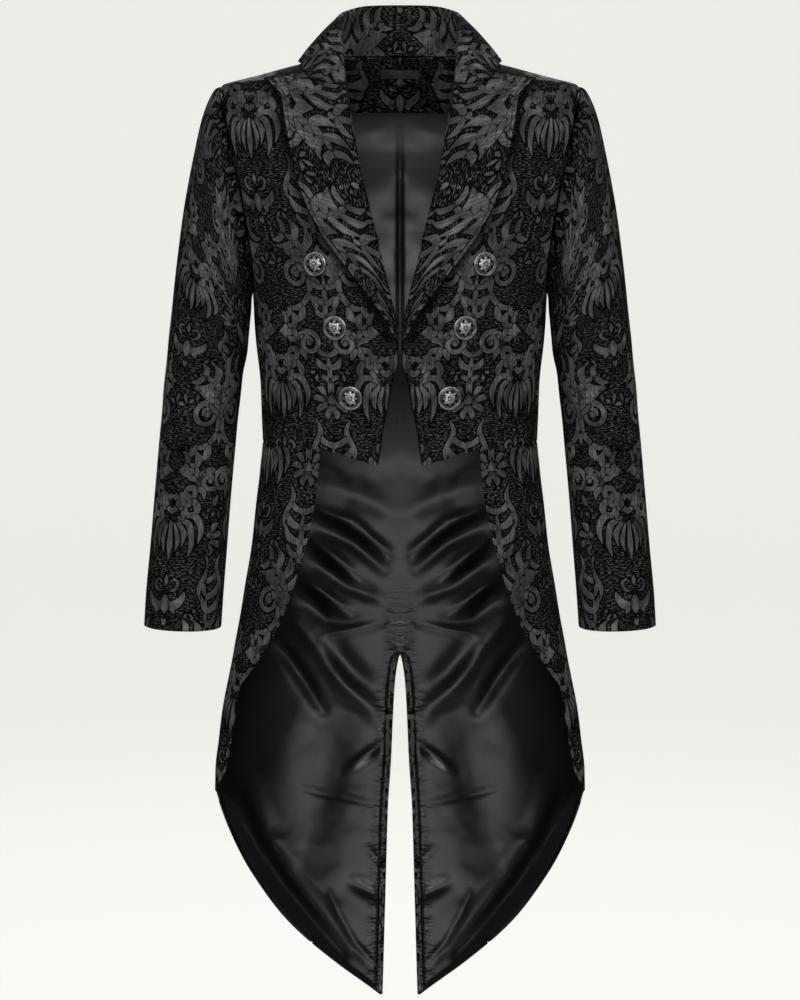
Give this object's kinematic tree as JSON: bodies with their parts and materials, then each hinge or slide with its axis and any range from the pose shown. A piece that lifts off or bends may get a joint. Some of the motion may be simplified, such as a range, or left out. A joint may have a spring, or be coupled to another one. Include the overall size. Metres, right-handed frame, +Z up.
{
  "type": "tailcoat",
  "caption": "Black brocade tailcoat with peaked lapels, a cut-away front, domed metal buttons and satin lining, filled out with no wearer.",
  "frame": {"origin": "middle of the neck opening, level with the shoulder seams, where the coat hangs on its wearer", "axes": "+Z up, -Y to the front of the coat, +X to the wearer's left"},
  "size_m": [0.598, 0.2789, 1.221],
  "materials": {
    "brocade": "woven damask of dull and brighter black yarn",
    "lining": "satin",
    "label": "plain tape",
    "buttons": "antique silver"
  },
  "bodies": {
    "root": {"front_left": "brocade", "front_right": "brocade", "side_left": "brocade", "side_right": "brocade", "back_left": "brocade", "back_right": "brocade", "skirt_left": "brocade", "skirt_right": "brocade", "lapel_left": "brocade", "lapel_right": "brocade", "lining_back_left": "lining", "lining_back_right": "lining", "lining_skirt_left": "lining", "lining_skirt_right": "lining", "sleeve_top_left": "brocade", "sleeve_top_right": "brocade", "sleeve_under_left": "brocade", "sleeve_under_right": "brocade", "vent_facing_left": "brocade", "vent_facing_right": "brocade", "collar": "brocade", "neck_facing": "brocade", "label": "label", "button_left_1": "buttons", "button_left_2": "buttons", "button_left_3": "buttons", "button_right_1": "buttons", "button_right_2": "buttons", "button_right_3": "buttons"}
  },
  "joints": []
}
